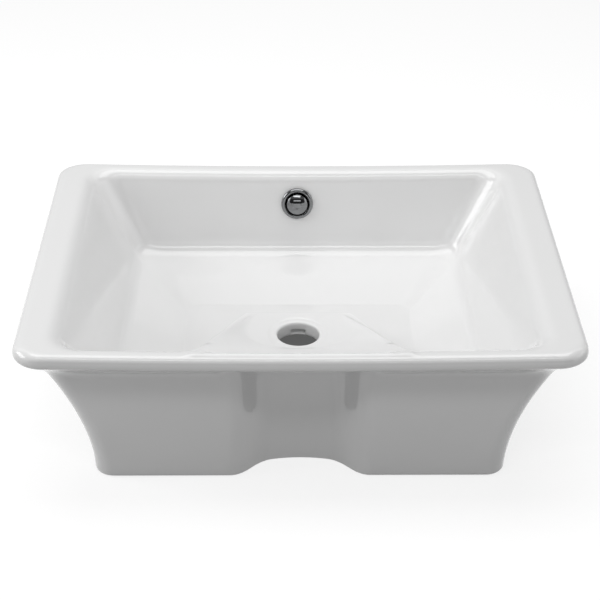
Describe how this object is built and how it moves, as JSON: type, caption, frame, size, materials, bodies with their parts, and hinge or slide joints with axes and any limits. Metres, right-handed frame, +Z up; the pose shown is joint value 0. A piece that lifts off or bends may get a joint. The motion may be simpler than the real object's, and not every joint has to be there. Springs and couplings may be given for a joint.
{
  "type": "countertop basin",
  "caption": "Rectangular vessel basin in white glazed ceramic: flared skirt, front niche, two-tier bowl, ramped front, bare waste hole and a chromed domed overflow trim.",
  "frame": {"origin": "middle of the foot's bounding box, on the surface that the basin stands on", "axes": "+X to the right when facing the front, +Y to the back wall, +Z up"},
  "size_m": [0.53, 0.4, 0.1598],
  "materials": {
    "glazed_body": "gloss white glaze",
    "chrome_trim": "polished",
    "seal_rubber": "matt"
  },
  "bodies": {
    "root": {"basin_body": "glazed_body", "overflow_ring": "chrome_trim", "overflow_cap": "chrome_trim", "overflow_seal": "seal_rubber"}
  },
  "joints": []
}
